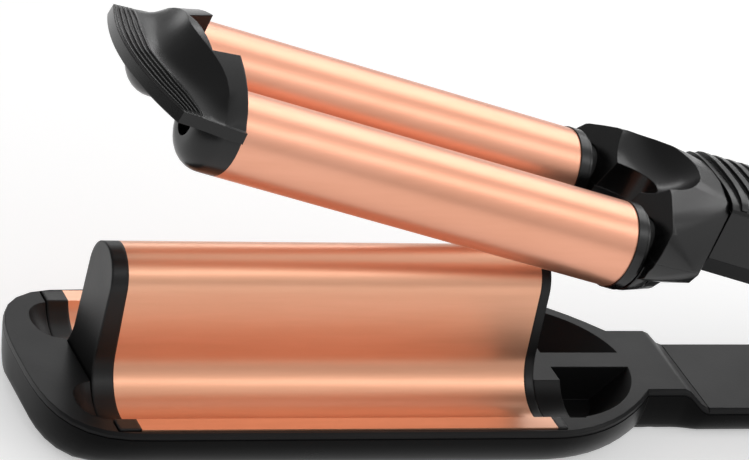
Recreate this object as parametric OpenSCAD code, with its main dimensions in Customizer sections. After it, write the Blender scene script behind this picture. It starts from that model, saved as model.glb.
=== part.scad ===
// Hair waver: a spring-opened tong. The upper arm carries two heated barrels,
// and the lower arm carries a heated wave plate whose two valleys take them.
// +X runs from the tip to the handle, +Z is up, and the origin is on the
// underside that the tool rests on, below the middle of the wave plate.

/* [Barrels] */
// Outer diameter of each heated barrel
barrel_d = 25; // [22:0.5:26]
// Wall of each barrel tube
barrel_wall = 1; // [0.6:0.1:1.5]
// Distance between the two barrel axes
barrel_pitch = 45.3; // [44:0.1:50]
// Length of barrel that shows
barrel_len = 129; // [125:1:133]
// Length of the collar behind each barrel
collar_len = 4.5; // [3.5:0.5:6]

/* [Wave plate] */
// Length of the wave plate
plate_len = 125.6; // [122:0.2:128]
// Sheet thickness of the wave plate
plate_t = 1.2; // [0.8:0.1:1.6]
// Gap between a closed barrel and its valley
valley_gap = 0.5; // [0.4:0.1:1]
// Height of the valley floors above the rest face
valley_floor_z = 9.5; // [9:0.5:12]
// Height of the ridge above the valley floors
ridge_h = 42.7; // [40:0.1:45]
// Gap between the ridge and a barrel that passes it
ridge_gap = 0.35; // [0.3:0.05:0.8]
// Depth of the side lips below the closed barrel axes
lip_drop = 6.9; // [6:0.1:7.5]
// Width of each side lip
lip_w = 6; // [4:0.5:8]
// Thickness of the black cap on the plate's front end, at its foot
front_cap_t = 6.8; // [5.5:0.1:7]
// Lean of that cap's front face over its height
front_cap_draft = 2.1; // [0:0.1:3]
// Thickness of the black cap on the plate's rear end
rear_cap_t = 3; // [2:0.5:5]

/* [Lower arm] */
// Wall of the lower shell
shell_wall = 2; // [1.6:0.1:2.6]
// Width of the rim beside the lips
rim_w = 2.5; // [2.2:0.1:4]
// Reach of the tip beyond the wave plate
tip_reach = 24; // [22:0.5:28]
// Half width of the neck
neck_half = 18.4; // [17:0.1:19.5]
// Half width of the lower handle
lower_half = 20; // [19:0.1:23]
// Height of the lower handle's top
lower_handle_z = 9.7; // [9.2:0.1:11]
// Thickness of the deck and the lower handle cover
deck_t = 1.8; // [1.4:0.1:2]
// Half width of the rib between the rear pockets
rib_half = 4.2; // [3:0.1:5]
// Depth of the rear pockets below the deck
pocket_depth = 11; // [10:0.5:11.5]
// Radius of the rear pockets' curved edge
pocket_r = 34; // [32:0.5:35]

/* [Upper arm] */
// Distance from the barrels' front rims to the hinge pin
arm_reach = 300; // [290:1:310]
// Depth of the hinge pin below the barrel axes
pin_drop = 13.4; // [12.9:0.1:13.6]
// Angle that the arms stand open at rest
open_angle = 15; // [10:0.5:18]
// Half width of the upper handle
upper_half = 18.2; // [17.5:0.1:20]
// Length of the yoke from the collars to the handle
yoke_len = 29.5; // [28.5:0.5:33]
// Wall of the upper handle's pieces
handle_wall = 1.8; // [1.4:0.1:2.2]
// Height of the upper handle's lower seam
seam_low_z = 2; // [1.5:0.1:3]
// Height of the upper handle's upper seam
seam_high_z = 17; // [16.6:0.1:17.5]
// Height of the upper handle's underside
belly_z = -4; // [-4.5:0.1:-3.5]
// Height of the upper handle's top
crown_z = 21.6; // [21.2:0.1:24]
// Number of grip ribs across the handle's top
grip_ribs = 6; // [3:1:8]
// Distance between grip ribs
grip_pitch = 4.7; // [4.5:0.1:6]

/* [Tip cap] */
// Length of each barrel nose
nose_len = 12; // [10:0.5:13]
// Rounding of each barrel nose
nose_round = 7.5; // [6:0.5:8]
// Height of the tip cap's crest
crest_z = 20.2; // [19:0.1:23]
// Height of the thumb plate's front edge
thumb_z = 6.3; // [5.5:0.1:7]
// Height of the thumb plate's front wall
thumb_wall = 3.4; // [3:0.1:4.5]
// Half width of the thumb plate at its front
thumb_half = 33; // [31:0.5:34]
// Reach of the thumb plate beyond the barrel rims
thumb_reach = 25; // [23:0.5:27]

/* [Controls] */
// Distance from the handle's front to the power button
power_back = 65; // [58:1:70]
// Distance between the buttons
button_pitch = 17; // [15:0.5:19]
// Diameter of the power button
power_d = 11; // [9:0.5:12]
// Diameter of the two heat buttons
heat_d = 9; // [7:0.5:10]
// Height that the buttons stand proud
button_proud = 1.2; // [0.8:0.1:1.6]
// Travel of each button
button_travel = 0.6; // [0.3:0.1:0.8]

/* [Hinge and cord] */
// Radius of the hinge pin
pin_r = 2; // [1.6:0.1:2.4]
// Turns of the opening spring
spring_turns = 7; // [5:1:8]
// Wire diameter of the opening spring
spring_wire = 1.2; // [0.8:0.1:1.5]
// Mean radius of the opening spring
spring_r = 4.2; // [3.6:0.1:4.6]
// Distance from the pin to the spring's upper end
spring_arm = 40; // [36:1:46]
// Radius of the cord's bore
cord_r = 3.6; // [3:0.1:4]
// Length of the cord gland behind the handle
gland_len = 17; // [12:0.5:24]

/* [Hidden] */

$fn = 64;
eps = 0.01;
fit = 0.15;
black = [0.09, 0.09, 0.1];
dark = [0.16, 0.16, 0.17];
copper = [0.86, 0.58, 0.44];
steel = [0.72, 0.73, 0.75];
aluminium = [0.8, 0.8, 0.82];
ceramic = [0.93, 0.92, 0.88];

// Wave plate section
barrel_r = barrel_d / 2;
axis_y = barrel_pitch / 2;
valley_r = barrel_r + valley_gap;
ridge_r = axis_y - barrel_r - ridge_gap;
axis_z = valley_floor_z + valley_r;
ridge_z = valley_floor_z + ridge_h - ridge_r;
centre_gap = norm([axis_y, ridge_z - axis_z]);
flank_a = atan2(ridge_z - axis_z, axis_y) - acos((valley_r + ridge_r) / centre_gap);
lip_z = axis_z - lip_drop;
lip_in = axis_y + sqrt(valley_r * valley_r - lip_drop * lip_drop);
lip_out = lip_in + lip_w;
plate_x = plate_len / 2;
plate_skirt = 2.4;
cap_floor_z = valley_floor_z - 1.5;
nudge = 0.02;

// Lower arm
half_w = lip_out + rim_w;
deck_z = lip_z - 0.4;
tip_x = -plate_x - tip_reach;
tip_round_x = -plate_x + 4;
tip_len = tip_round_x - tip_x;
taper_x = plate_x - 2;
pocket_x = -plate_x + barrel_len + collar_len + 3.5;
pocket_cx = pocket_x - 9;
neck_x = pocket_cx + pocket_r + 1.2;
step_x = neck_x + 12;
cover_x = step_x + 8;
pocket_z = deck_z - pocket_depth;
skin = 1.6;

// Hinge
pin_x = -plate_x + arm_reach;
pin_z = axis_z - pin_drop;
knuckle_r = pin_z - shell_wall - 0.3;
cheek_r = pin_drop + belly_z - 0.6;
lower_end_x = pin_x + 15;
ear_in = 9.4;
ear_t = 3;
knuckle_half = ear_in - 0.4;
open_rad = open_angle * PI / 180;

// Upper arm
yoke_x = barrel_len + collar_len;
handle_x = yoke_x + yoke_len;
handle_end_x = arm_reach + 18;
collar_r = barrel_r + 0.35;
bore_r = barrel_r - barrel_wall;
plug_r = bore_r - 0.2;
notch_x = handle_x - 16;
grip_x = handle_x + 4;
power_x = handle_x + power_back;
board_x = power_x - 22;
board_end_x = handle_end_x - 20;
board_w = 24;
board_z = seam_high_z - 6;
gland_z = (seam_low_z + seam_high_z) / 2;
gland_r = cord_r + 3.3;

// Opening spring
spring_top = [-spring_arm, pin_drop + belly_z];
spring_top_x = pin_x + spring_top[0] * cos(open_angle) + spring_top[1] * sin(open_angle);
spring_top_z = pin_z - spring_top[0] * sin(open_angle) + spring_top[1] * cos(open_angle);
seat_z = shell_wall + 1.2;
spring_len = (spring_top_z - seat_z) * open_rad / sin(open_angle);
spring_x = spring_top_x - spring_len * (1 - cos(open_angle)) / open_rad;

function clamp01(t) = min(1, max(0, t));
function ease(t) = let (c = clamp01(t)) c * c * (3 - 2 * c);
function mix(a, b, t) = a + (b - a) * t;
function mirrored(p) = concat(p, [for (i = [len(p) - 1:-1:0]) [-p[i][0], p[i][1]]]);

// Faces of a skin through rings of n points, the first ring at the lowest x
function loft_faces(n, m) = concat(
    [[for (i = [0:n - 1]) i]],
    [[for (i = [n - 1:-1:0]) (m - 1) * n + i]],
    [for (k = [0:m - 2], i = [0:n - 1]) let (j = (i + 1) % n)
        [k * n + i, (k + 1) * n + i, (k + 1) * n + j]],
    [for (k = [0:m - 2], i = [0:n - 1]) let (j = (i + 1) % n)
        [k * n + i, (k + 1) * n + j, k * n + j]]
);

// Solid through sections [x, [[y, z], ...]], each counter-clockwise seen from +X
module loft(sections) {
    points = [for (s = sections, p = s[1]) [s[0], p[0], p[1]]];
    polyhedron(points, loft_faces(len(sections[0][1]), len(sections)), convexity = 8);
}

// Extrude a section drawn in Y and Z along +X
module along_x(x, length) {
    translate([x, 0, 0]) rotate([90, 0, 90]) linear_extrude(length) children();
}

// Revolve a profile of [x, radius] points about an axis along X
module turned(y, z, profile) {
    translate([0, y, z]) rotate([90, 0, 90]) rotate_extrude()
        polygon([for (p = profile) [p[1], p[0]]]);
}

module rod_x(x, y, z, r, length) {
    translate([x, y, z]) rotate([0, 90, 0]) cylinder(h = length, r = r);
}

module both_sides() {
    for (side = [-1, 1]) {
        translate([0, side * axis_y, 0]) children();
    }
}

// Place a piece of the upper arm, drawn from the barrels' front rims and axes
module on_upper_arm() {
    translate([pin_x, 0, pin_z]) rotate([0, open_angle, 0])
        translate([-arm_reach, 0, pin_drop]) children();
}

// ---- Outline of the lower arm ----

function tip_half(x) =
    let (t = clamp01((tip_round_x - x) / tip_len)) half_w * pow(1 - pow(t, 3), 1 / 3);
function taper_half(x) =
    neck_half + (half_w - neck_half) * (1 - pow((x - taper_x) / (neck_x - taper_x), 2.1));
function end_half(x) =
    let (t = clamp01((x - lower_end_x + 5) / 5)) lower_half - 3.5 * (1 - sqrt(1 - t * t));
function arm_half(x) =
    x < tip_round_x ? tip_half(x) :
    x < taper_x ? half_w :
    x < neck_x ? taper_half(x) :
    x < step_x ? neck_half :
    x < lower_end_x - 5 ? mix(neck_half, lower_half, ease((x - step_x) / 9)) :
    end_half(x);
function deck_top(x) = mix(deck_z, lower_handle_z, ease((x - step_x) / (cover_x - step_x)));
function cheek_top(x) =
    let (d = abs(x - pin_x)) d < cheek_r ? pin_z + sqrt(cheek_r * cheek_r - d * d) : 0;
function shell_top(x) = max(deck_top(x) - deck_t, min(cheek_top(x), pin_z + cheek_r));
function shell_floor(x) =
    let (u = clamp01((x - tip_x) / 12)) 6 * (1 - sqrt(1 - (1 - u) * (1 - u)));

tip_stations = [for (a = [87, 81, 74, 66, 56, 45, 33, 20, 8])
    tip_round_x - tip_len * pow(sin(a), 2 / 3)];
side_stations = concat(
    [tip_round_x + 2, 0, taper_x],
    [for (i = [1:9]) mix(taper_x, neck_x, i / 9)],
    [step_x],
    [for (i = [1:4]) mix(step_x, cover_x, i / 4)]
);
rear_stations = concat(
    [pin_x - cheek_r - 1],
    [for (i = [0:8]) pin_x - cheek_r * cos(i * 22.5)],
    [for (i = [0:4]) lower_end_x - 5 + 5 * sin(i * 22.5)]
);
shell_stations = concat(tip_stations, side_stations, [cover_x + 12], rear_stations);

// One side of the shell's section, from the flat floor round and up to the rim
function shell_side(w, top, floor) =
    [for (i = [0:6]) let (a = 90 - i * 15)
        [w * (0.72 + 0.28 * pow(cos(a), 1.33)), top - (top - floor) * pow(sin(a), 1.33)]];
function shell_section(w, top, floor) =
    let (side = shell_side(w, top, floor))
    concat([for (i = [len(side) - 1:-1:0]) [-side[i][0], side[i][1]]], side);

// Open-topped skin: outer rings, inner rings and the rim between them
module shell_skin() {
    rings = len(shell_stations);
    first = shell_stations[0];
    last = shell_stations[rings - 1];
    shrink = (last - first - 2 * shell_wall) / (last - first);
    outer = [for (x = shell_stations) let (s = shell_section(arm_half(x), shell_top(x), shell_floor(x)))
        [for (p = s) [x, p[0], p[1]]]];
    inner = [for (x = shell_stations) let (xi = first + shell_wall + (x - first) * shrink)
        let (s = shell_section(arm_half(xi) - shell_wall, shell_top(x), shell_floor(xi) + shell_wall))
        [for (p = s) [xi, p[0], p[1]]]];
    n = len(outer[0]);
    m = rings * n;
    faces = concat(
        [[for (i = [0:n - 1]) i], [for (i = [n - 1:-1:0]) m + i]],
        [[for (i = [n - 1:-1:0]) m - n + i], [for (i = [0:n - 1]) 2 * m - n + i]],
        [for (k = [0:rings - 2], i = [0:n - 2]) let (q = k * n + i) [q, q + n, q + n + 1]],
        [for (k = [0:rings - 2], i = [0:n - 2]) let (q = k * n + i) [q, q + n + 1, q + 1]],
        [for (k = [0:rings - 2], i = [0:n - 2]) let (q = m + k * n + i) [q, q + n + 1, q + n]],
        [for (k = [0:rings - 2], i = [0:n - 2]) let (q = m + k * n + i) [q, q + 1, q + n + 1]],
        [for (k = [0:rings - 2]) let (q = k * n) [q, m + q, m + q + n, q + n]],
        [for (k = [0:rings - 2]) let (q = k * n + n - 1) [q, q + n, m + q + n, m + q]],
        [[0, n - 1, m + n - 1, m], [m - n, 2 * m - n, 2 * m - 1, m - 1]]
    );
    polyhedron([for (s = concat(outer, inner), p = s) p], faces, convexity = 8);
}

screw_spots = [[tip_x + 14, 0], [neck_x + 5, 11], [neck_x + 5, -11],
    [cover_x + 8, 9], [cover_x + 8, -9], [pin_x - 22, 9], [pin_x - 22, -9]];
function boss_top(p) = deck_top(p[0]) - deck_t;

module lower_shell() {
    color(black) difference() {
        union() {
            shell_skin();
            for (p = screw_spots) {
                translate([p[0], p[1], shell_wall - eps])
                    cylinder(h = boss_top(p) - shell_wall + eps, r = 3.2);
            }
        }
        for (p = screw_spots) {
            translate([p[0], p[1], -eps]) cylinder(h = 2.4 + 2 * eps, r = 2.9);
            translate([p[0], p[1], 0]) cylinder(h = boss_top(p) + 1, r = 1.4);
        }
        translate([pin_x, 0, pin_z]) rotate([90, 0, 0])
            cylinder(h = 3 * lower_half, r = pin_r + 0.03, center = true);
    }
}

module lower_screws() {
    color(steel) for (p = screw_spots) {
        translate([p[0], p[1], 0.8]) cylinder(h = 1.6, r = 2.6);
        translate([p[0], p[1], 0.8]) cylinder(h = boss_top(p) - 0.8 - 0.4, r = 1.25);
    }
}

// ---- Deck of the lower arm ----

function deck_section(x, w) =
    let (top = deck_top(x), low = top - deck_t)
    [[-w, low], [w, low], [w, top - 0.7], [w - 0.9, top], [-w + 0.9, top], [-w, top - 0.7]];

module deck_skin() {
    stations = [for (x = concat(tip_stations, side_stations)) x];
    loft([for (x = stations) [x, deck_section(x, arm_half(x) - 0.25)]]);
}

// One rear pocket with a sloping outer wall, grown by a skin and cut off at a height
module pocket(grow, top) {
    low = pocket_z - grow;
    intersection() {
        translate([pocket_cx, 0, low])
            cylinder(h = top - low, r1 = pocket_r - 10 + grow, r2 = pocket_r + grow + top - deck_z);
        translate([pocket_x - grow, rib_half - grow, low]) cube([pocket_r * 2, pocket_r * 2, top - low]);
    }
}

// Trough that continues one valley, with a rounded front end for the barrel's nose
function scoop_profile(grow) = let (r = valley_r + grow, rc = 4, round = valley_r - rc + grow)
    concat([[pocket_x, 0], [pocket_x, r]],
        [for (i = [0:8]) let (a = i * 11.25)
            [-plate_x - 6 - round * sin(a), rc + round * cos(a)]],
        [[-plate_x - 6 - round, 0]]);

module scoops(grow) {
    for (side = [-1, 1]) {
        turned(side * axis_y, axis_z, scoop_profile(grow));
    }
}

module lower_deck() {
    wall_top = deck_z - 0.7;
    color(dark) difference() {
        union() {
            deck_skin();
            for (side = [0, 1]) mirror([0, side, 0]) {
                pocket(skin, wall_top);
            }
            intersection() {
                scoops(skin);
                translate([tip_x, -half_w, 0]) cube([pocket_x - tip_x, 2 * half_w, wall_top]);
            }
        }
        scoops(0);
        for (side = [0, 1]) mirror([0, side, 0]) {
            pocket(0, deck_z + 1);
        }
        translate([-plate_x - front_cap_t - fit, -lip_out - fit, 0])
            cube([plate_len + front_cap_t + rear_cap_t + 2 * fit, 2 * (lip_out + fit), 2 * deck_z]);
    }
}

module lower_handle_cover() {
    last = pin_x - knuckle_r - 4.5;
    color(dark) difference() {
        loft([for (x = [cover_x + fit, cover_x + 12, last])
            [x, deck_section(x, arm_half(x) - 0.25)]]);
        translate([spring_x, 0, 0]) cylinder(h = 2 * lower_handle_z, r = spring_r + 2);
    }
}

// ---- Wave plate and its caps ----

// Area under the wave surface, lowered by an inset
module wave_area(inset, half, base) {
    vr = valley_r + inset;
    rr = ridge_r - inset;
    foot = [axis_y - (vr - nudge) * cos(flank_a), axis_z + (vr - nudge) * sin(flank_a)];
    neck = [(rr - nudge) * cos(flank_a), ridge_z - (rr - nudge) * sin(flank_a)];
    difference() {
        union() {
            polygon([[-half, base + 4.5], [3.5 - half, base], [half - 3.5, base],
                [half, base + 4.5], [half, lip_z - inset], [axis_y, lip_z - inset],
                [axis_y, foot[1]], foot, neck, [-neck[0], neck[1]], [-foot[0], foot[1]],
                [-axis_y, foot[1]], [-axis_y, lip_z - inset], [-half, lip_z - inset]]);
            translate([0, ridge_z]) circle(r = rr, $fn = 96);
        }
        for (side = [-1, 1]) {
            translate([side * axis_y, axis_z]) circle(r = vr, $fn = 96);
        }
    }
}

module wave_plate() {
    color(copper) along_x(-plate_x, plate_len) difference() {
        wave_area(0, lip_out, cap_floor_z - plate_t);
        wave_area(plate_t, lip_out - plate_t, cap_floor_z - 2 * plate_t);
        for (side = [-1, 1]) {
            translate([side * lip_out, cap_floor_z - 2 * plate_t])
                square([2 * lip_w, 2 * (lip_z - plate_skirt - cap_floor_z + 2 * plate_t)], center = true);
        }
    }
}

module front_plate_cap() {
    top_z = valley_floor_z + ridge_h;
    lean = atan2(front_cap_draft, top_z - cap_floor_z);
    color(black) difference() {
        along_x(-plate_x - front_cap_t, front_cap_t) wave_area(0, lip_out - 0.5, cap_floor_z);
        translate([-plate_x - front_cap_t, -half_w, cap_floor_z]) rotate([0, lean, 0])
            translate([-20, 0, 0]) cube([20, 2 * half_w, 2 * top_z]);
    }
}

module rear_plate_cap() {
    color(black) along_x(plate_x, rear_cap_t) wave_area(0, lip_out, cap_floor_z);
}

// Heat-proof frame under the plate: two rails under the lips and two cross bars
module plate_carrier() {
    rail_in = lip_in + plate_t + 0.6;
    rail_w = lip_out - plate_t - 0.3 - rail_in;
    rail_top = lip_z - plate_t - 0.3;
    color(dark) union() {
        for (side = [0, 1]) mirror([0, side, 0]) {
            translate([-plate_x + 1, rail_in, shell_wall + 7])
                cube([plate_len - 2, rail_w, rail_top - shell_wall - 7]);
        }
        for (x = [-plate_x + 12, plate_x - 18]) {
            translate([x, 7.4 - rail_in, shell_wall + 0.3])
                cube([6, 2 * rail_in - 14.8, cap_floor_z - plate_t - shell_wall - 0.9]);
            for (side = [0, 1]) mirror([0, side, 0]) {
                translate([x, rail_in - 10, shell_wall + 3]) cube([6, 8, 2.4]);
                translate([x, rail_in - 3.4, shell_wall + 4.4]) cube([6, 3.4 + eps, 5.4]);
            }
        }
    }
}

module plate_heat_spreader() {
    r = ridge_r - plate_t - 0.3;
    color(aluminium) along_x(-plate_x + 6, plate_len - 12) difference() {
        union() {
            translate([0, ridge_z]) circle(r = r);
            translate([-r + 1.6, axis_z - 4]) square([2 * r - 3.2, ridge_z - axis_z + 4]);
        }
        translate([-1.8, 0]) square([3.6, ridge_z]);
    }
}

module plate_heater() {
    color(ceramic) translate([-plate_x + 26, -1.5, axis_z - 2])
        cube([plate_len - 52, 3, ridge_z - axis_z + 1.7]);
}

// Bent steel spring that presses the spreader up against the ridge
module plate_clip() {
    base = cap_floor_z - plate_t - 0.3;
    top = axis_z - 4.3;
    color(steel) for (x = [-plate_x + 14, plate_x - 16]) {
        translate([x, 0, 0]) rotate([90, 0, 90]) linear_extrude(10, center = true) {
            translate([-6, base]) square([12, 0.8]);
            translate([-6, top - 0.8]) square([12, 0.8]);
            translate([5.2, base]) square([0.8, top - base]);
        }
    }
}

module plate_sensor() {
    color(ceramic) rod_x(plate_x - 34, 0, axis_z - 5.4, 1.3, 9);
}

// ---- Hinge and spring ----

module hinge_bracket() {
    ear_foot = shell_wall + 3;
    color(dark) difference() {
        union() {
            for (side = [0, 1]) mirror([0, side, 0]) {
                translate([0, ear_in + ear_t, 0]) rotate([90, 0, 0]) linear_extrude(ear_t) {
                    translate([pin_x, pin_z]) circle(r = pin_r + 3.2);
                    translate([pin_x - 9, shell_wall]) square([18, pin_z - shell_wall]);
                }
            }
            translate([pin_x - 12, -ear_in - ear_t, shell_wall])
                cube([4, 2 * (ear_in + ear_t), ear_foot]);
        }
        translate([pin_x, 0, pin_z]) rotate([90, 0, 0])
            cylinder(h = 4 * ear_in, r = pin_r + 0.03, center = true);
    }
}

module hinge_pin() {
    color(steel) translate([pin_x, 0, pin_z]) rotate([90, 0, 0])
        cylinder(h = 2 * lower_half - 0.4, r = pin_r, center = true);
}

module pin_caps() {
    color(steel) for (side = [0, 1]) mirror([0, side, 0]) {
        translate([pin_x, lower_half, pin_z]) rotate([-90, 0, 0]) {
            cylinder(h = 0.5, r = pin_r + 1.4);
            cylinder(h = 0.9, r = pin_r + 0.9);
        }
    }
}

module spring_seat() {
    color(dark) translate([spring_x, 0, shell_wall]) {
        cylinder(h = seat_z - shell_wall, r = spring_r + 1.6);
        cylinder(h = seat_z - shell_wall + 3, r = spring_r - spring_wire / 2 - 0.4);
    }
}

// Point on the spring's bent middle line, at a fraction t of its length
function spring_mid(t) = let (a = open_angle * t)
    [spring_x + spring_len * (1 - cos(a)) / open_rad, seat_z + spring_len * sin(a) / open_rad];
wire_rings = 8;
wire_sides = 6;
wire_r = spring_wire / 2;
function wire_lift(t) = mix(wire_r, spring_len - wire_r, t) / spring_len;
function wire_point(k, i) =
    let (t = k / (spring_turns * wire_rings), c = spring_mid(wire_lift(t)))
    let (lean = open_angle * t, turn = 360 * k / wire_rings, a = 360 * i / wire_sides)
    let (r = spring_r + wire_r * cos(a), up = -wire_r * sin(a))
    [c[0] + r * cos(turn) * cos(lean) + up * sin(lean), r * sin(turn),
        c[1] - r * cos(turn) * sin(lean) + up * cos(lean)];
function wire_centre(k) = (wire_point(k, 0) + wire_point(k, wire_sides / 2)) / 2;
spring_gap = min([for (k = [0:(spring_turns - 1) * wire_rings])
    norm(wire_centre(k + wire_rings) - wire_centre(k))]) - spring_wire;
echo(spring_gap = spring_gap);

module opening_spring() {
    rings = spring_turns * wire_rings + 1;
    points = [for (k = [0:rings - 1], i = [0:wire_sides - 1]) wire_point(k, i)];
    color(steel) polyhedron(points, loft_faces(wire_sides, rings), convexity = 10);
}

// ---- Barrels ----

module barrel(side) {
    color(copper) on_upper_arm() difference() {
        rod_x(0, side * axis_y, 0, barrel_r, barrel_len);
        rod_x(-1, side * axis_y, 0, bore_r, barrel_len + 2);
    }
}

module near_barrel() {
    barrel(-1);
}

module far_barrel() {
    barrel(1);
}

// Two half-round aluminium clamps that press the flat heater against the tube
module clamps(side) {
    color(aluminium) on_upper_arm() translate([0, side * axis_y, 0]) difference() {
        rod_x(14, 0, 0, bore_r - 0.3, barrel_len - 28);
        translate([13, -barrel_r, -1.4]) cube([barrel_len, barrel_d, 2.8]);
        for (z = [-1, 1]) {
            rod_x(13, 0, z * 5.6, 1.6, barrel_len);
        }
    }
}

module near_clamps() {
    clamps(-1);
}

module far_clamps() {
    clamps(1);
}

module barrel_heaters() {
    color(ceramic) on_upper_arm() both_sides() {
        translate([22, -6, -1.1]) cube([barrel_len - 44, 12, 2.2]);
    }
}

module barrel_sensor() {
    color(ceramic) on_upper_arm() both_sides() {
        rod_x(barrel_len - 24, 0, 5.6, 1.3, 14);
    }
}

module collar(side) {
    color(black) on_upper_arm() turned(side * axis_y, 0, [
        [barrel_len - 7, 6], [barrel_len - 7, plug_r], [barrel_len, plug_r],
        [barrel_len, collar_r], [yoke_x - 1.3, collar_r], [yoke_x - 1.3, collar_r - 0.8],
        [yoke_x, collar_r - 0.8], [yoke_x, 9.8], [yoke_x + 6, 9.8], [yoke_x + 6, 6]
    ]);
}

module near_collar() {
    collar(-1);
}

module far_collar() {
    collar(1);
}

// ---- Tip cap ----

crest_half = axis_y + barrel_r + 0.5;
function crest(y) =
    crest_z * sqrt(max(0.004, 1 - pow(min(1, abs(y) / crest_half), 2)));
// Rear rim of the dish, drawn forward at the middle to leave room for the notch
function cap_rim(y) = -mix(front_cap_t + 3.4, 5.4, ease(abs(y) / axis_y));
function cap_side(x) = mix(thumb_half, crest_half, ease((x + 19) / 19));
function cap_front(y) = -thumb_reach + 6 * pow(y / thumb_half, 2);

thumb_cols = 12;
// Rows from the front edge, closer together over the ribs, to the rim at 1 and the rear at 2
thumb_u = concat([for (i = [0:9]) i * 0.046], [for (i = [1:12]) 0.414 + i * 0.586 / 12], [1.5, 2]);
function rib_lift(i) = i == 0 || i > 9 ? 0 : (i % 2 == 1 ? 0.35 : -0.15);
// Height of the dish: a gentle slope behind the ribs, a trough, and a steep rise to the crest
function dish(w) = w < 0.4 ? 0.12 * w / 0.4 : 0.12 + 0.88 * pow((w - 0.4) / 0.6, 2.2);
function cap_x(u, y) = u < 1 ? mix(cap_front(y), cap_rim(y), u) : mix(cap_rim(y), 0, u - 1);
function cap_point(i, v) =
    let (u = thumb_u[i], y0 = sin(90 * v) * thumb_half, x = cap_x(u, y0))
    let (y = y0 * cap_side(x) / thumb_half, high = max(thumb_z, crest(y)))
    let (lift = 0.86 * dish(min(1, u)) + 0.14 * max(0, u - 1))
    [x, y, mix(thumb_z, high, lift) + rib_lift(i) * (1 - pow(v, 8))];

// Lofted thumb plate: rows run from front to rear, and each row from -Y to +Y
module thumb_form() {
    cols = 2 * thumb_cols + 1;
    rows = len(thumb_u);
    top = [for (i = [0:rows - 1], j = [-thumb_cols:thumb_cols])
        let (p = cap_point(i, abs(j) / thumb_cols)) [p[0], j < 0 ? -p[1] : p[1], p[2]]];
    n = len(top);
    base = [for (k = [0:n - 1]) [top[k][0] - (k < cols ? 0.4 : 0), top[k][1], thumb_z - thumb_wall]];
    last = rows - 1;
    faces = concat(
        [for (i = [0:last - 1], j = [0:cols - 2]) let (q = i * cols + j) [q, q + 1, q + cols + 1]],
        [for (i = [0:last - 1], j = [0:cols - 2]) let (q = i * cols + j) [q, q + cols + 1, q + cols]],
        [for (i = [0:last - 1], j = [0:cols - 2]) let (q = n + i * cols + j)
            [q, q + cols + 1, q + 1]],
        [for (i = [0:last - 1], j = [0:cols - 2]) let (q = n + i * cols + j)
            [q, q + cols, q + cols + 1]],
        [for (i = [0:last - 1]) let (q = i * cols) [q, q + cols, n + q + cols, n + q]],
        [for (i = [0:last - 1]) let (q = i * cols + cols - 1) [q + cols, q, n + q, n + q + cols]],
        [for (j = [0:cols - 2]) [j + 1, j, n + j, n + j + 1]],
        [for (j = [0:cols - 2]) let (q = last * cols + j) [q, q + 1, n + q + 1, n + q]]
    );
    polyhedron(concat(top, base), faces, convexity = 8);
}

// Rounded nose that closes one barrel, with a screw hole and a spigot in the tube
module nose(side) {
    low = barrel_d;
    difference() {
        turned(side * axis_y, 0, concat(
            [[6, 0], [6, plug_r], [0, plug_r], [0, barrel_r]],
            [for (i = [0:8]) let (a = i * 11.25)
                [-nose_len + nose_round - nose_round * sin(a),
                    barrel_r - nose_round + nose_round * cos(a)]],
            [[-nose_len, 0]]));
        translate([-nose_len - low, -2 * low, thumb_z - 0.5]) cube([nose_len + low, 4 * low, low]);
        rod_x(-nose_len - 1, side * axis_y, 0, 4, 1 + nose_len - 3);
        rod_x(-5, side * axis_y, 0, 1.6, 20);
    }
}

module tip_cap() {
    notch = front_cap_t + 0.8;
    side = ridge_r + 1;
    color(black) on_upper_arm() difference() {
        union() {
            thumb_form();
            nose(-1);
            nose(1);
        }
        translate([0, 0, -20]) linear_extrude(60)
            polygon([[-notch, -side], [-notch, side], [2, side + 2], [2, -side - 2]]);
    }
}

module tip_screws() {
    color(steel) on_upper_arm() both_sides() {
        rod_x(-nose_len + 4.5, 0, 0, 2.6, nose_len - 7.5);
        rod_x(-4, 0, 0, 1.4, 9);
    }
}

// ---- Yoke ----

module slice(x, points) {
    along_x(x, 0.02) polygon(mirrored(points));
}

// Faceted body between the collars and the handle, before it is cut
module yoke_form() {
    hull() {
        slice(yoke_x + 0.3, [[0, 14], [20, 16.2], [23, 16.4], [29, 15], [34.2, 11.6], [37.6, 6.3],
            [38.6, 2], [37.6, -2], [33, -5], [0, -5]]);
        slice(yoke_x + 6, [[0, 19.4], [17, 18.4], [22.5, 16.8], [33.8, 12]]);
        slice(yoke_x + 11.5, [[0, 21.4], [14.6, 20.6], [31, 11.6], [35.8, 2], [34.6, -1.5], [30, -4.6]]);
        slice(yoke_x + 18.5, [[0, 22], [10.5, 21.4], [17.5, 18.6], [34, 2], [31.6, -2], [27, -4.6]]);
        slice(handle_x - 0.4, [[0, crown_z - 0.5], [6, crown_z - 0.8], [10.4, crown_z - 1.7],
            [15, seam_high_z + 1.8], [upper_half - 0.4, seam_high_z - 0.6], [upper_half + 0.1, 4],
            [upper_half - 1, -3], [10, belly_z + 0.4], [0, belly_z + 0.4]]);
    }
}

// Everything in front of the yoke's leaning front face
module yoke_front() {
    translate([yoke_x, -60, 0]) rotate([0, 20, 0]) translate([-30, 0, 0]) cube([30, 120, 60]);
}

// Dish in the yoke's top, between the barrels
module yoke_dish() {
    translate([yoke_x + 5.5, 0, 29]) rotate([90, 0, 0]) rotate_extrude()
        polygon([for (i = [-12:12]) [18.6 * cos(i * 7.5), 22 * sin(i * 7.5)]]);
}

module rod_x_coarse(x, y, z, r, length) {
    translate([x, y, z]) rotate([0, 90, 0]) cylinder(h = length, r = r, $fn = 32);
}

// Seam between the yoke's halves, sloping down to the rear
module below_seam() {
    translate([yoke_x, -60, 3.4]) rotate([0, 2.7, 0]) translate([-30, 0, -60]) cube([100, 120, 60]);
}

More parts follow.
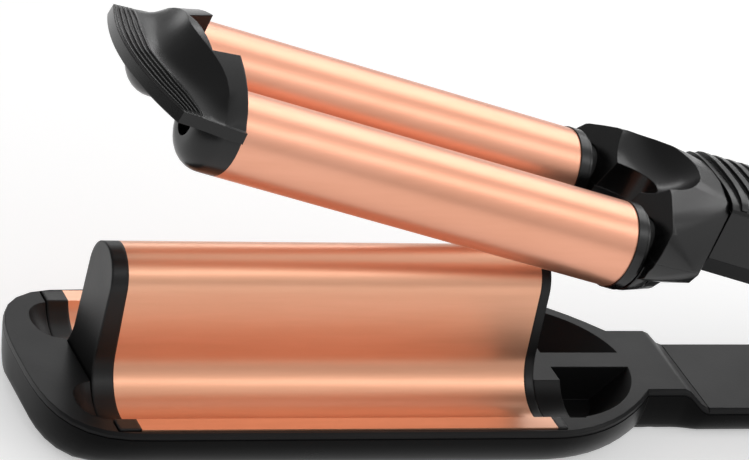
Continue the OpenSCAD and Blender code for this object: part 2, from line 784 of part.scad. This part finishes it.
module yoke_notch() {
    half = 9;
    translate([yoke_x - 10, -half, -30]) cube([notch_x - half - yoke_x + 10, 2 * half, 60]);
    translate([notch_x - half, 0, -30]) cylinder(h = 60, r = half);
}

module yoke_upper() {
    color(black) on_upper_arm() difference() {
        yoke_form();
        below_seam();
        yoke_front();
        yoke_dish();
        yoke_notch();
        both_sides() rod_x(yoke_x - 1, 0, 0, 10, 8);
    }
}

module yoke_lower() {
    color(black) on_upper_arm() difference() {
        intersection() {
            union() {
                for (side = [-1, 1]) hull() {
                    rod_x_coarse(yoke_x, side * axis_y, 0, barrel_r, 1);
                    rod_x_coarse(yoke_x + 12, side * (axis_y - 3.5), -3.5, 8, 0.5);
                    rod_x_coarse(yoke_x + 17, side * (axis_y - 4), -4, 4, 0.5);
                }
                yoke_form();
            }
            below_seam();
        }
        yoke_front();
        yoke_notch();
        both_sides() rod_x(yoke_x - 1, 0, 0, 10, 8);
    }
}

// ---- Upper handle ----

function handle_half(x) =
    let (t = (x - handle_x) / (handle_end_x - handle_x))
    let (e = clamp01((x - handle_end_x + 9) / 9))
    (upper_half + 1.2 * sin(180 * clamp01(t * 1.15))) * (1 - 0.42 * (1 - sqrt(1 - e * e)));
handle_stations = concat(
    [for (i = [0:8]) mix(handle_x, handle_end_x - 9, i / 8)],
    [for (i = [1:5]) handle_end_x - 9 + 9 * sin(i * 18)]
);

module handle_plan(inset) {
    side = [for (x = handle_stations) [min(x, handle_end_x - inset), handle_half(x) - inset]];
    first = [[handle_x + inset, handle_half(handle_x) - inset]];
    edge = concat(first, [for (i = [1:len(side) - 1]) side[i]]);
    polygon(concat(edge, [for (i = [len(edge) - 1:-1:0]) [edge[i][0], -edge[i][1]]]));
}

module handle_frame() {
    color(black) on_upper_arm() difference() {
        translate([0, 0, seam_low_z]) linear_extrude(seam_high_z - seam_low_z) difference() {
            handle_plan(0);
            handle_plan(handle_wall);
        }
        rod_x(handle_end_x - 6, 0, gland_z, gland_r + 0.15, 12);
    }
}

function belly_section(w, drop) = [
    [0.72 * w, belly_z + drop], [0.9 * w, belly_z + 1 + drop], [w, seam_low_z],
    [-w, seam_low_z], [-0.9 * w, belly_z + 1 + drop], [-0.72 * w, belly_z + drop]];

module handle_belly() {
    inner = concat([handle_x + handle_wall],
        [for (x = handle_stations) if (x > handle_x + 3 && x < handle_end_x - 3) x],
        [handle_end_x - handle_wall]);
    color(dark) on_upper_arm() difference() {
        loft([for (x = handle_stations) [x, belly_section(handle_half(x), 0)]]);
        loft([for (x = inner) [x, [for (p = belly_section(handle_half(x) - handle_wall, handle_wall))
            [p[0], p[1] + (p[1] > seam_low_z - eps ? 1 : 0)]]]]);
    }
}

function cover_side(w, top) = [for (i = [0:6]) let (a = i * 15)
    [w * pow(cos(a), 0.75), seam_high_z + (top - seam_high_z) * pow(sin(a), 0.9)]];
function cover_section(w, top) = let (side = cover_side(w, top))
    concat(side, [for (i = [len(side) - 2:-1:0]) [-side[i][0], side[i][1]]]);
function cover_top(x) = crown_z - 0.5 * (1 - ease((x - handle_x) / 3))
    - 0.3 * ease((x - handle_end_x + 60) / 60);

module grip_rib(x) {
    w = handle_half(x) + 0.25;
    along_x(x - 1.1, 2.2) difference() {
        polygon(cover_section(w, cover_top(x) + 0.7));
        polygon(cover_section(w - 1.2, cover_top(x) - 0.6));
        translate([-30, seam_high_z - 1]) square([60, 2.6]);
    }
}

module handle_cover() {
    inner = concat([handle_x + handle_wall],
        [for (x = handle_stations) if (x > handle_x + 3 && x < handle_end_x - 3) x],
        [handle_end_x - handle_wall]);
    color(black) on_upper_arm() difference() {
        union() {
            difference() {
                loft([for (x = handle_stations) [x, cover_section(handle_half(x), cover_top(x))]]);
                loft([for (x = inner) [x, [for (p = cover_section(handle_half(x) - handle_wall,
                    cover_top(x) - handle_wall)) [p[0], p[1] - (p[1] < seam_high_z + eps ? 1 : 0)]]]]);
            }
            for (i = [0:grip_ribs - 1]) {
                grip_rib(grip_x + i * grip_pitch);
            }
        }
        for (i = [0:2]) {
            translate([power_x + i * button_pitch, 0, 0])
                cylinder(h = 60, r = (i == 0 ? power_d : heat_d) / 2 + 0.25);
        }
        translate([power_x - 12, 0, 0]) cylinder(h = 60, r = 1.25);
    }
}

// ---- Hinge block of the upper arm ----

module hinge_block() {
    top = belly_z + pin_drop;
    color(dark) on_upper_arm() translate([arm_reach, knuckle_half, -pin_drop]) rotate([90, 0, 0])
        linear_extrude(2 * knuckle_half) difference() {
            union() {
                circle(r = knuckle_r);
                polygon([[-8, top], [-knuckle_r, 0], [knuckle_r, 0], [8, top]]);
            }
            circle(r = pin_r + 0.06);
        }
}

module hinge_screws() {
    color(steel) on_upper_arm() for (y = [-9, 9]) {
        translate([arm_reach, y, belly_z + handle_wall]) cylinder(h = 1.6, r = 3);
    }
}

// ---- Controls ----

module control_board() {
    color([0.1, 0.35, 0.2]) on_upper_arm() translate([board_x, -board_w / 2, board_z])
        cube([board_end_x - board_x, board_w, 1.6]);
}

module board_parts() {
    color(dark) on_upper_arm() {
        translate([board_x + 6, -7, board_z - 8]) cube([20, 14, 8]);
        translate([board_x + 32, 3, board_z - 6]) cylinder(h = 6, r = 4);
        translate([board_x + 44, -9, board_z - 5]) cube([14, 10, 5]);
    }
}

module key_switches() {
    color(black) on_upper_arm() for (i = [0:2]) {
        translate([power_x + i * button_pitch - 3, -3, board_z + 1.6]) cube([6, 6, 3]);
    }
}

module status_light() {
    color([0.85, 0.2, 0.15]) on_upper_arm() translate([power_x - 12, 0, board_z + 1.6])
        cylinder(h = cover_top(power_x - 12) + 0.2 - board_z - 1.6, r = 1.1);
}

module button(i, d) {
    x = power_x + i * button_pitch;
    low = board_z + 1.6 + 3 + button_travel + 0.1;
    top = cover_top(x) + button_proud;
    flange = cover_top(x) - handle_wall - 1.35;
    on_upper_arm() translate([x, 0, 0]) {
        translate([0, 0, low]) cylinder(h = top - 0.4 - low, r = d / 2);
        translate([0, 0, top - 0.4 - eps]) cylinder(h = 0.4 + eps, r = d / 2 - 0.4);
        translate([0, 0, flange]) cylinder(h = 1, r = d / 2 + 1);
    }
}

module power_button() {
    color(steel) button(0, power_d);
}

module plus_button() {
    color(dark) button(1, heat_d);
}

module minus_button() {
    color(dark) button(2, heat_d);
}

// ---- Cord gland that turns in the end of the handle ----

module cord_gland() {
    e = handle_end_x;
    color(black) on_upper_arm() turned(0, gland_z, [
        [e - 8, cord_r], [e - 8, gland_r], [e - handle_wall - 2.4, gland_r],
        [e - handle_wall - 2.4, gland_r + 1.6], [e - handle_wall - 0.2, gland_r + 1.6],
        [e - handle_wall - 0.2, gland_r], [e + 4, gland_r], [e + gland_len, cord_r + 1.6],
        [e + gland_len, cord_r]
    ]);
}

module gland_clip() {
    e = handle_end_x;
    color(steel) on_upper_arm() difference() {
        rod_x(e - 8 + 2, 0, gland_z, gland_r + 2.4, 1.2);
        rod_x(e - 9, 0, gland_z, gland_r + 0.2, 6);
    }
}

lower_shell();
lower_deck();
lower_handle_cover();
wave_plate();
front_plate_cap();
rear_plate_cap();
plate_carrier();
plate_heat_spreader();
plate_heater();
plate_clip();
plate_sensor();
lower_screws();
hinge_bracket();
hinge_pin();
pin_caps();
spring_seat();
opening_spring();
near_barrel();
far_barrel();
near_clamps();
far_clamps();
barrel_heaters();
barrel_sensor();
tip_cap();
tip_screws();
near_collar();
far_collar();
yoke_upper();
yoke_lower();
handle_frame();
handle_belly();
handle_cover();
hinge_block();
hinge_screws();
control_board();
board_parts();
key_switches();
status_light();
power_button();
plus_button();
minus_button();
cord_gland();
gland_clip();
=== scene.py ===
"""Hair waver: two copper-coloured barrels over a wave plate, with a black spring-opened handle.

Everything is placed in metres in the row frame: +X runs from the tip to the cord gland, +Z is
up. Sizes of the scene's own pieces are written in mm, as in the CAD source.
"""
import math

import bpy
from mathutils import Matrix, Vector
from mathutils.bvhtree import BVHTree


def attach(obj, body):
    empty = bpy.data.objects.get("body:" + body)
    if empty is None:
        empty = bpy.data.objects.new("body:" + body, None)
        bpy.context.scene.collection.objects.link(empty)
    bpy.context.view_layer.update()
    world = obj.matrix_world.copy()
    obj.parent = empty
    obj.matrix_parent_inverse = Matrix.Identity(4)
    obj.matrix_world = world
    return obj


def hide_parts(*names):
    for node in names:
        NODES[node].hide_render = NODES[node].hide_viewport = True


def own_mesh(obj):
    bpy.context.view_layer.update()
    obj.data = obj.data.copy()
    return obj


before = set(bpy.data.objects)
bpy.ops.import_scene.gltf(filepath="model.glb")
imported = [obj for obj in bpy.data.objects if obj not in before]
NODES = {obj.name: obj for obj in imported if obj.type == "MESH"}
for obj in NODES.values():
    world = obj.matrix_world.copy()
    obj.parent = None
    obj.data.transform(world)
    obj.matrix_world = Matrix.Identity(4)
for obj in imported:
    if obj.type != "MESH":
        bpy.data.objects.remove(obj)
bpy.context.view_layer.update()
MM = 0.001

# ---------------------------------------------------------------- scene and camera

scene = bpy.context.scene
scene.view_settings.view_transform = "Standard"

# Solved from the object's edges in the photograph, with the barrels' diameter as the scale.
CAMERA_PLACE = Vector((-0.54881, -1.21333, 0.70881))
CAMERA_RIGHT = (0.9261, -0.3277, 0.1868)
CAMERA_UP = (-0.0090, 0.4761, 0.8794)
CAMERA_BACK = (-0.3771, -0.8161, 0.4380)
SENSOR_WIDTH, LENS = 36.0, 251.75
NEAREST, FURTHEST = 0.05, 20.0


def make_camera():
    data = bpy.data.cameras.new("camera")
    data.sensor_fit = "HORIZONTAL"
    data.sensor_width = SENSOR_WIDTH
    data.lens = LENS
    data.clip_start, data.clip_end = NEAREST, FURTHEST
    cam = bpy.data.objects.new("camera", data)
    scene.collection.objects.link(cam)
    turn = Matrix((CAMERA_RIGHT, CAMERA_UP, CAMERA_BACK)).transposed()
    cam.matrix_world = Matrix.Translation(CAMERA_PLACE) @ turn.to_4x4()
    scene.camera = cam


make_camera()

# ---------------------------------------------------------------- node trees

EVEN = (1.0, 1.0, 1.0)
WHITE = (1.0, 1.0, 1.0, 1.0)


class Tree:
    """A short way to build a material's or the world's nodes."""

    def __init__(self, owner):
        owner.use_nodes = True
        self.tree = owner.node_tree
        self.tree.nodes.clear()

    def add(self, kind, values=None, **settings):
        made = self.tree.nodes.new(kind)
        for key, value in settings.items():
            setattr(made, key, value)
        for key, value in (values or {}).items():
            made.inputs[key].default_value = value
        return made

    def link(self, source, output, target, socket):
        """Join two sockets, each given by its name or its number."""
        self.tree.links.new(source.outputs[output], target.inputs[socket])

    def ramp(self, source, output, stops):
        """Two colours, each with its place from 0 to 1."""
        made = self.add("ShaderNodeValToRGB")
        for element, (place, colour) in zip(made.color_ramp.elements, stops):
            element.position = place
            element.color = (*colour, 1.0)
        self.link(source, output, made, "Fac")
        return made

    def mapped(self, scale):
        """The object's own coordinates, stretched."""
        place = self.add("ShaderNodeTexCoord")
        made = self.add("ShaderNodeMapping", {"Scale": scale})
        self.link(place, "Object", made, "Vector")
        return made

    def noise(self, mapping, scale, detail, rough):
        values = {"Scale": scale, "Detail": detail, "Roughness": rough}
        made = self.add("ShaderNodeTexNoise", values)
        self.link(mapping, "Vector", made, "Vector")
        return made

    def spread(self, source, output, low, high, start=0.0, end=1.0, step="LINEAR"):
        """A map of start..end to low..high."""
        values = {"From Min": start, "From Max": end, "To Min": low, "To Max": high}
        made = self.add("ShaderNodeMapRange", values, interpolation_type=step)
        self.link(source, output, made, "Value")
        return made

    def bump(self, source, output, strength, distance, onto=None):
        made = self.add("ShaderNodeBump", {"Strength": strength, "Distance": distance})
        self.link(source, output, made, "Height")
        if onto is not None:
            self.link(onto, "Normal", made, "Normal")
        return made

    def mix(self, source, output, off, on):
        """One shader where the source is 0, another where it is 1."""
        made = self.add("ShaderNodeMixShader")
        self.link(source, output, made, "Fac")
        self.link(off, 0, made, 1)
        self.link(on, 0, made, 2)
        return made

    def finish(self, shader, kind="ShaderNodeOutputMaterial"):
        self.link(shader, 0, self.add(kind), "Surface")


# ---------------------------------------------------------------- materials


def plastic(name, dark, light, rough, grain=0.05, grain_scale=900.0, edge=0.0004, specular=0.5):
    """Moulded plastic: slight colour drift, uneven gloss, rounded edges and a fine eroded grain."""
    mat = bpy.data.materials.new(name)
    t = Tree(mat)
    place = t.mapped(EVEN)
    drift = t.noise(place, scale=22.0, detail=4.0, rough=0.6)
    shader = t.add("ShaderNodeBsdfPrincipled", {"Specular IOR Level": specular, "IOR": 1.5})
    tint = t.ramp(drift, "Fac", [(0.3, dark), (0.7, light)])
    t.link(tint, "Color", shader, "Base Color")
    smear = t.noise(place, scale=60.0, detail=5.0, rough=0.65)
    gloss = t.spread(smear, "Fac", rough - 0.05, rough + 0.07)
    t.link(gloss, "Result", shader, "Roughness")
    rounded = t.add("ShaderNodeBevel", {"Radius": edge}, samples=6)
    fine = t.noise(place, scale=grain_scale, detail=2.0, rough=0.6)
    grained = t.bump(fine, "Fac", strength=grain, distance=0.00015, onto=rounded)
    t.link(grained, "Normal", shader, "Normal")
    t.finish(shader)
    return mat


def copper(name, streak, low, high, metallic, coat, rough):
    """Ceramic-coated copper-coloured metal: satin, with soft streaks along the length."""
    mat = bpy.data.materials.new(name)
    t = Tree(mat)
    along = t.mapped(streak)
    soft = t.noise(along, scale=30.0, detail=4.0, rough=0.55)
    fine = t.noise(along, scale=260.0, detail=3.0, rough=0.6)
    spots = t.noise(t.mapped(EVEN), scale=420.0, detail=2.0, rough=0.5)
    mixed = t.add("ShaderNodeMath", {1: 0.45}, operation="MULTIPLY_ADD")
    t.link(fine, "Fac", mixed, 0)
    t.link(soft, "Fac", mixed, 2)
    tint = t.ramp(mixed, "Value", [(0.50, low), (0.92, high)])
    finish = {"Metallic": metallic, "Coat Weight": coat, "Coat Roughness": 0.25}
    shader = t.add("ShaderNodeBsdfPrincipled", finish)
    t.link(tint, "Color", shader, "Base Color")
    gloss = t.spread(soft, "Fac", rough - 0.04, rough + 0.04)
    t.link(gloss, "Result", shader, "Roughness")
    brushed = t.bump(fine, "Fac", strength=0.22, distance=0.00010)
    pitted = t.bump(spots, "Fac", strength=0.08, distance=0.00005, onto=brushed)
    t.link(pitted, "Normal", shader, "Normal")
    t.finish(shader)
    return mat


def metal(name, colour, rough, streak=(1.0, 8.0, 8.0), grain=0.2):
    """Bare metal with machining lines and small stains."""
    mat = bpy.data.materials.new(name)
    t = Tree(mat)
    lines = t.noise(t.mapped(streak), scale=400.0, detail=3.0, rough=0.6)
    stains = t.noise(t.mapped(EVEN), scale=90.0, detail=4.0, rough=0.6)
    shade = tuple(c * 0.82 for c in colour)
    tint = t.ramp(stains, "Fac", [(0.35, shade), (0.65, colour)])
    shader = t.add("ShaderNodeBsdfPrincipled", {"Metallic": 1.0})
    t.link(tint, "Color", shader, "Base Color")
    gloss = t.spread(lines, "Fac", rough - 0.06, rough + 0.1)
    t.link(gloss, "Result", shader, "Roughness")
    t.link(t.bump(lines, "Fac", strength=grain, distance=0.00005), "Normal", shader, "Normal")
    t.finish(shader)
    return mat


def mineral(name, dark, light):
    """Sintered ceramic: pale, dull and faintly speckled."""
    mat = bpy.data.materials.new(name)
    t = Tree(mat)
    speck = t.noise(t.mapped(EVEN), scale=700.0, detail=3.0, rough=0.7)
    tint = t.ramp(speck, "Fac", [(0.35, dark), (0.6, light)])
    shader = t.add("ShaderNodeBsdfPrincipled", {"Roughness": 0.75})
    t.link(tint, "Color", shader, "Base Color")
    t.link(t.bump(speck, "Fac", strength=0.15, distance=0.0001), "Normal", shader, "Normal")
    t.finish(shader)
    return mat


M = {
    "shell": plastic("black_shell", (0.0016, 0.0016, 0.0017), (0.0026, 0.0026, 0.0027),
                     0.28, grain=0.04, specular=0.06),
    "black": plastic("black_satin", (0.0014, 0.0014, 0.0015), (0.0026, 0.0026, 0.0027),
                     0.24, grain=0.04, specular=0.42),
    "deck": plastic("dark_grey_deck", (0.0055, 0.0055, 0.0058), (0.0080, 0.0080, 0.0084),
                    0.38, grain=0.10, specular=0.17),
    "cap": plastic("black_heat_cap", (0.0024, 0.0024, 0.0025), (0.0040, 0.0040, 0.0042),
                   0.36, grain=0.10, edge=0.0011, specular=0.34),
    "grip": plastic("grip_black", (0.0016, 0.0016, 0.0017), (0.0028, 0.0028, 0.0029),
                    0.28, specular=0.42),
    "rubber": plastic("gland_rubber", (0.006, 0.006, 0.0062), (0.010, 0.010, 0.0102),
                      0.62, grain=0.3, grain_scale=1400.0, specular=0.3),
    "key": plastic("grey_key", (0.05, 0.05, 0.053), (0.065, 0.065, 0.068), 0.38, grain=0.12),
    "barrel": copper("copper_barrel", (0.12, 1.0, 1.0), (0.82, 0.38, 0.24), (0.91, 0.44, 0.295),
                     metallic=0.85, coat=0.2, rough=0.34),
    "plate": copper("copper_plate", (0.10, 1.4, 1.4), (0.84, 0.41, 0.245), (0.95, 0.49, 0.31),
                    metallic=0.80, coat=0.5, rough=0.35),
    "steel": metal("brushed_steel", (0.60, 0.60, 0.62), 0.32),
    "trim": metal("satin_trim", (0.62, 0.62, 0.64), 0.26, streak=EVEN, grain=0.1),
    "alu": metal("cast_aluminium", (0.72, 0.73, 0.74), 0.48, streak=EVEN, grain=0.35),
    "ceramic": mineral("white_ceramic", (0.62, 0.60, 0.56), (0.82, 0.80, 0.76)),
    "board": plastic("board_green", (0.012, 0.075, 0.035), (0.018, 0.10, 0.048), 0.35, grain=0.1),
    "mark": plastic("pale_mark", (0.50, 0.50, 0.50), (0.58, 0.58, 0.58), 0.45, specular=0.4),
    "light": plastic("red_lens", (0.38, 0.015, 0.010), (0.46, 0.022, 0.014), 0.16, grain=0.02),
}

FINISHES = {
    "shell": ["lower_shell"],
    "black": ["handle_frame", "near_collar", "far_collar", "yoke_upper", "yoke_lower",
              "tip_cap", "key_switches"],
    "grip": ["handle_cover"],
    "deck": ["lower_deck", "lower_handle_cover", "handle_belly", "plate_carrier",
             "hinge_bracket", "spring_seat", "hinge_block", "board_parts"],
    "cap": ["front_plate_cap", "rear_plate_cap"],
    "rubber": ["cord_gland"],
    "key": ["plus_button", "minus_button"],
    "barrel": ["near_barrel", "far_barrel"],
    "plate": ["wave_plate"],
    "steel": ["plate_clip", "lower_screws", "hinge_pin", "pin_caps", "opening_spring",
              "tip_screws", "hinge_screws", "gland_clip"],
    "trim": ["power_button"],
    "alu": ["plate_heat_spreader", "near_clamps", "far_clamps"],
    "ceramic": ["plate_heater", "plate_sensor", "barrel_heaters", "barrel_sensor"],
    "board": ["control_board"],
    "light": ["status_light"],
}


def dress(obj, mat):
    obj.data.materials.clear()
    obj.data.materials.append(mat)


def smooth_by_angle(obj, degrees):
    """Smooth shading that keeps edges sharper than an angle."""
    weld = obj.modifiers.new("weld", "WELD")
    weld.merge_threshold = 1e-6
    obj.data.polygons.foreach_set("use_smooth", [True] * len(obj.data.polygons))
    edges = obj.modifiers.new("edges", "EDGE_SPLIT")
    edges.split_angle = math.radians(degrees)
    edges.use_edge_sharp = False


for finish_name, node_names in FINISHES.items():
    for node_name in node_names:
        dress(NODES[node_name], M[finish_name])

for node_object in NODES.values():
    smooth_by_angle(node_object, degrees=32.0)

# ---------------------------------------------------------------- the scene's own pieces

# The hinge pin in the row frame, and the same pin in the upper arm's own frame, in mm.
OPEN = math.radians(15.0)
PIN_X, PIN_Z = 237.2, 9.1
PIN_BACK, PIN_DROP = 300.0, 13.4
UP_Z = Vector((math.sin(OPEN), 0.0, math.cos(OPEN)))
ABOVE_ALL = 60.0


def up(x, y, z):
    """A point of the upper arm's own frame, in mm, as a place in the scene."""
    back, rise = x - PIN_BACK, z + PIN_DROP
    return Vector((PIN_X + back * math.cos(OPEN) + rise * math.sin(OPEN), y,
                   PIN_Z - back * math.sin(OPEN) + rise * math.cos(OPEN))) * MM


def ground(name):
    """A way to find a node's highest point, in mm, over a place of the upper arm's frame."""
    mesh = NODES[name].data
    tree = BVHTree.FromPolygons([v.co for v in mesh.vertices], [p.vertices for p in mesh.polygons])

    def height(x, y):
        place, _, _, distance = tree.ray_cast(up(x, y, ABOVE_ALL), -UP_Z)
        return None if place is None else ABOVE_ALL - distance / MM
    return height


def new_piece(name, points, faces, mat, body):
    mesh = bpy.data.meshes.new(name)
    mesh.from_pydata(points, [], faces)
    mesh.validate()
    mesh.polygons.foreach_set("use_smooth", [True] * len(mesh.polygons))
    obj = bpy.data.objects.new(name, mesh)
    scene.collection.objects.link(obj)
    mesh.materials.append(mat)
    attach(obj, body)
    return obj


def tube(paths, sides, upward):
    """Points and faces of closed round tubes; a path is a list of (place, radius)."""
    points, faces = [], []
    for path in paths:
        base, last = len(points), len(path) - 1
        for k, (place, radius) in enumerate(path):
            ahead = path[min(k + 1, last)][0] - path[max(k - 1, 0)][0]
            side = ahead.cross(upward).normalized()
            lift = side.cross(ahead).normalized()
            for i in range(sides):
                a = 2.0 * math.pi * i / sides
                points.append(place + (side * math.cos(a) + lift * math.sin(a)) * radius)
        for k in range(last):
            for i in range(sides):
                p, q = base + k * sides + i, base + k * sides + (i + 1) % sides
                faces.append((p, q, q + sides, p + sides))
        faces.append(tuple(base + i for i in reversed(range(sides))))
        faces.append(tuple(base + last * sides + i for i in range(sides)))
    return points, faces


def make_spring():
    """The opening spring as smooth round wire on a bent axis; the CAD coil is six-sided."""
    foot_x, foot_z, length = 197.661, 3.2, 25.6242
    coil_r, wire_r, wire_sides, turns, per_turn = 4.2, 0.6, 12, 7, 40
    path = []
    for k in range(turns * per_turn + 1):
        t = k / (turns * per_turn)
        lift = (wire_r + (length - 2.0 * wire_r) * t) / length
        bend, lean, turn = OPEN * lift, OPEN * t, 2.0 * math.pi * k / per_turn
        axis_x = foot_x + length * (1.0 - math.cos(bend)) / OPEN
        axis_z = foot_z + length * math.sin(bend) / OPEN
        x = axis_x + coil_r * math.cos(turn) * math.cos(lean)
        z = axis_z - coil_r * math.cos(turn) * math.sin(lean)
        path.append((Vector((x, coil_r * math.sin(turn), z)) * MM, wire_r * MM))
    points, faces = tube([path], wire_sides, Vector((0.0, 0.0, 1.0)))
    obj = new_piece("coil_spring", points, faces, M["steel"], "lower_arm")
    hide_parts("opening_spring")
    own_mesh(obj)


def make_tip_ribs():
    """Round-topped ribs along the thumb plate's front edge, on the crests of the CAD rows."""
    height = ground("tip_cap")
    half, rows, steps, half_pitch = 32.2, 5, 60, 0.046
    reach, bow, bow_half = 25.0, 6.0, 33.0
    rim_x, rim_run, rim_half = -10.2, 4.8, 22.65
    radius, sink, sides, taper, least = 0.40, 0.08, 10, 1.6, 0.15
    paths = []
    for row in range(rows):
        path = []
        for k in range(steps + 1):
            y = half * (2.0 * k / steps - 1.0)
            front = -reach + bow * (y / bow_half) ** 2
            rim = rim_x + rim_run * min(1.0, abs(y) / rim_half)
            x = front + (rim - front) * half_pitch * (2 * row + 1)
            z = height(x, y)
            fade = min(1.0, (half - abs(y)) / taper + least)
            if z is not None:
                path.append((up(x, y, z - sink), radius * fade * MM))
        paths.append(path)
    points, faces = tube(paths, sides, UP_Z)
    new_piece("tip_ribs", points, faces, M["black"], "upper_arm")


def make_key_marks():
    """Raised plain marks on the keys: a ring with a bar, a cross, and a bar."""
    spots = {"power_button": 228.0, "plus_button": 245.0, "minus_button": 262.0}
    strokes, ring_bar = (-1.9, -0.95, 0.0, 0.95, 1.9), (-2.3, -1.4, -0.5)
    ring_start, ring_sweep, ring_steps = 40, 280, 24
    stroke_r, ring_r, ring_wire_r, sink, sides = 0.28, 1.8, 0.26, 0.05, 10

    def line(places, radius):
        return [(up(x, y, z), radius * MM) for x, y in places]

    for node, x0 in spots.items():
        z = ground(node)(x0, 0.0) - sink
        mat, slot = M["mark"], "bright_trim"
        paths = [line([(x0, y) for y in strokes], stroke_r)]
        if node == "plus_button":
            paths.append(line([(x0 + x, 0.0) for x in strokes], stroke_r))
        if node == "power_button":
            mat, slot = M["black"], "black_plastic"
            turns = [ring_start + ring_sweep * k / ring_steps for k in range(ring_steps + 1)]
            arc = [math.radians(turn) for turn in turns]
            ring = [(x0 - ring_r * math.cos(a), ring_r * math.sin(a)) for a in arc]
            bar = [(x0 + x, 0.0) for x in ring_bar]
            paths = [line(ring, ring_wire_r), line(bar, ring_wire_r)]
        points, faces = tube(paths, sides, UP_Z)
        new_piece(node.replace("button", "mark"), points, faces, mat, node)


make_spring()
make_tip_ribs()
make_key_marks()

# ---------------------------------------------------------------- floor and lights

FLOOR_HALF, FLOOR_DROP, FLOOR_SHADE, FLOOR_GLOW = 6.0, 0.0002, 0.80, 0.42
SEEN_LEVEL, LIT_LEVEL = 1.0, 0.55
LIGHT_AIM = (0.0, 0.0, 0.05)


def make_floor():
    """A pale floor that keeps the shadow, and glows a little to the camera and in mirrors."""
    corners = [(-FLOOR_HALF, -FLOOR_HALF), (FLOOR_HALF, -FLOOR_HALF),
               (FLOOR_HALF, FLOOR_HALF), (-FLOOR_HALF, FLOOR_HALF)]
    mesh = bpy.data.meshes.new("floor")
    mesh.from_pydata([(x, y, -FLOOR_DROP) for x, y in corners], [], [(0, 1, 2, 3)])
    obj = bpy.data.objects.new("floor", mesh)
    scene.collection.objects.link(obj)
    mat = bpy.data.materials.new("floor")
    t = Tree(mat)
    shade = (FLOOR_SHADE, FLOOR_SHADE, FLOOR_SHADE, 1.0)
    matte = t.add("ShaderNodeBsdfDiffuse", {"Color": shade})
    glow = t.add("ShaderNodeEmission", {"Color": WHITE, "Strength": FLOOR_GLOW})
    both = t.add("ShaderNodeAddShader")
    t.link(matte, 0, both, 0)
    t.link(glow, 0, both, 1)
    path = t.add("ShaderNodeLightPath")
    seen_by = t.add("ShaderNodeMath", operation="MAXIMUM")
    t.link(path, "Is Camera Ray", seen_by, 0)
    t.link(path, "Is Glossy Ray", seen_by, 1)
    t.finish(t.mix(seen_by, "Value", matte, both))
    mesh.materials.append(mat)


def make_world():
    """White to the camera; to glossy rays a pale studio, darker low down and on the left."""
    world = bpy.data.worlds.new("world")
    scene.world = world
    t = Tree(world)
    seen = t.add("ShaderNodeBackground", {"Color": WHITE, "Strength": SEEN_LEVEL})
    lit = t.add("ShaderNodeBackground", {"Color": WHITE, "Strength": LIT_LEVEL})
    mirrored = t.add("ShaderNodeBackground", {"Color": WHITE})
    place = t.add("ShaderNodeTexCoord")
    axes = t.add("ShaderNodeSeparateXYZ")
    t.link(place, "Generated", axes, "Vector")
    right = t.spread(axes, "X", low=0.30, high=0.80, start=-0.35, end=0.35, step="SMOOTHSTEP")
    high = t.spread(axes, "Z", low=0.55, high=1.0, start=-0.05, end=0.4, step="SMOOTHSTEP")
    level = t.add("ShaderNodeMath", operation="MULTIPLY")
    t.link(right, "Result", level, 0)
    t.link(high, "Result", level, 1)
    t.link(level, "Value", mirrored, "Strength")
    path = t.add("ShaderNodeLightPath")
    unseen = t.mix(path, "Is Glossy Ray", lit, mirrored)
    t.finish(t.mix(path, "Is Camera Ray", unseen, seen), kind="ShaderNodeOutputWorld")


def area_light(name, place, width, height, power):
    """A rectangular lamp that shines at the object, with its power in watts."""
    data = bpy.data.lights.new(name, "AREA")
    data.shape = "RECTANGLE"
    data.size, data.size_y = width, height
    data.energy = power
    obj = bpy.data.objects.new(name, data)
    scene.collection.objects.link(obj)
    obj.location = place
    obj.rotation_mode = "QUATERNION"
    obj.rotation_quaternion = (Vector(LIGHT_AIM) - Vector(place)).to_track_quat("-Z", "Y")


make_floor()
make_world()
area_light("front_strip", (0.85, -0.80, 0.98), width=2.0, height=0.15, power=3.3)
area_light("back_strip", (0.80, 1.00, 0.68), width=2.0, height=0.15, power=2.6)
area_light("softbox", (1.05, 0.62, 1.15), width=0.8, height=0.6, power=3.0)
